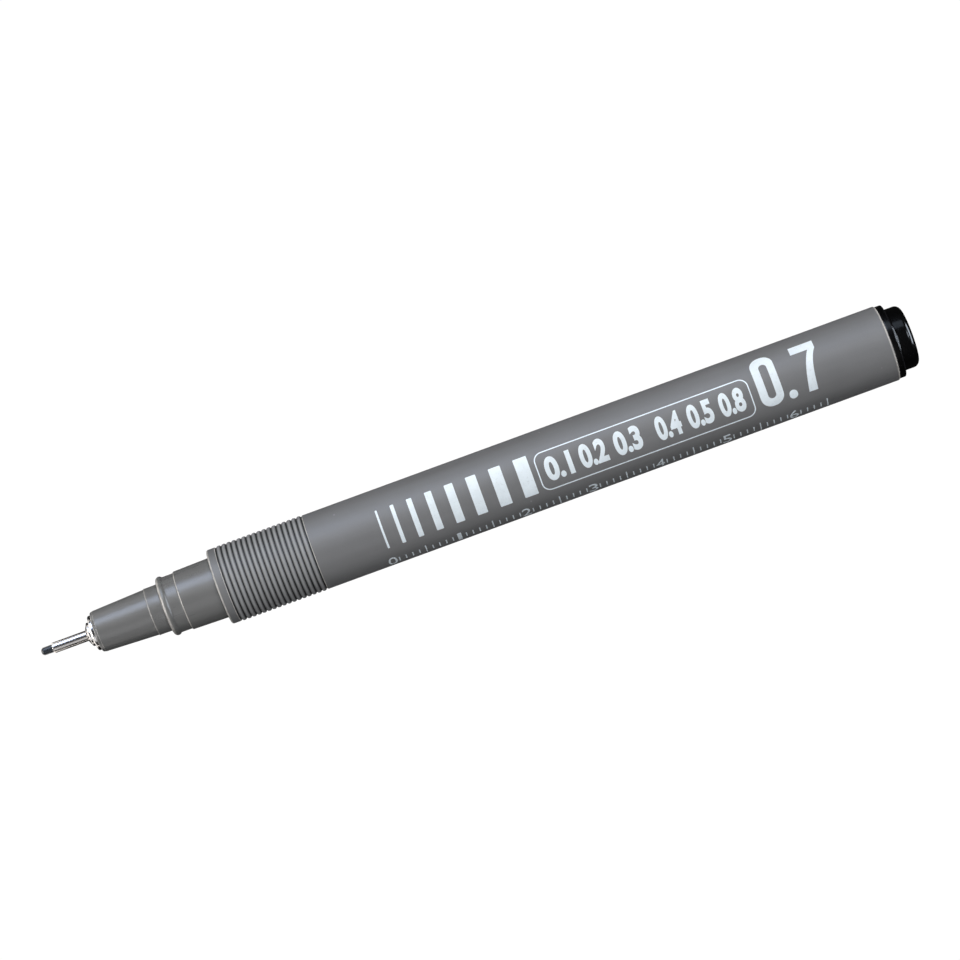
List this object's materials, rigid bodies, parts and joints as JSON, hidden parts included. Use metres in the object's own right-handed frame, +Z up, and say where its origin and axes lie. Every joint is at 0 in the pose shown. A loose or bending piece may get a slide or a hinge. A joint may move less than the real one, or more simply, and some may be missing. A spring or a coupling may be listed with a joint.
{
  "type": "technical pen",
  "caption": "Uncapped drawing pen with a steel-clad capillary tip, a stepped plastic nose section, a round barrel with a ribbed grip and a black end plug.",
  "frame": {"origin": "middle of the pen's length, straight below its axis, on the surface that it lies on", "axes": "+X along the pen's axis from the writing point to the end plug, +Z up, +Y sideways to complete a right-handed frame"},
  "size_m": [0.1302, 0.0112, 0.0111],
  "materials": {
    "barrel_plastic": "satin moulded grey",
    "nose_plastic": "semi-gloss moulded grey",
    "plug_plastic": "gloss black",
    "bright_metal": "bright turned",
    "steel_tube": "polished drawn tube",
    "nib_rod": "ink-stained, satin",
    "inked_wick": "bonded fibre soaked in ink",
    "inked_fibre": "fibre bundle soaked in ink",
    "clear_film": "thin clear wrap",
    "natural_plastic": "natural extruded plastic",
    "printed_ink": "pale silver-blue screen print"
  },
  "bodies": {
    "barrel": {"barrel": "barrel_plastic", "ink_reservoir": "inked_fibre", "reservoir_film": "clear_film", "breather_tube": "natural_plastic"},
    "plug": {"end_plug": "plug_plastic"},
    "section": {"nose_section": "nose_plastic", "feed_wick": "inked_wick"},
    "tip": {"tip_ferrule": "bright_metal", "nib_tube": "steel_tube", "nib": "nib_rod"}
  },
  "joints": [
    {"name": "section_pull", "type": "slide", "parent": "barrel", "child": "section", "axis": [-1, 0, 0], "range_m": [0, 0.03]},
    {"name": "tip_pull", "type": "slide", "parent": "section", "child": "tip", "axis": [-1, 0, 0], "range_m": [0, 0.018]},
    {"name": "plug_pull", "type": "slide", "parent": "barrel", "child": "plug", "axis": [1, 0, 0], "range_m": [0, 0.02]}
  ]
}
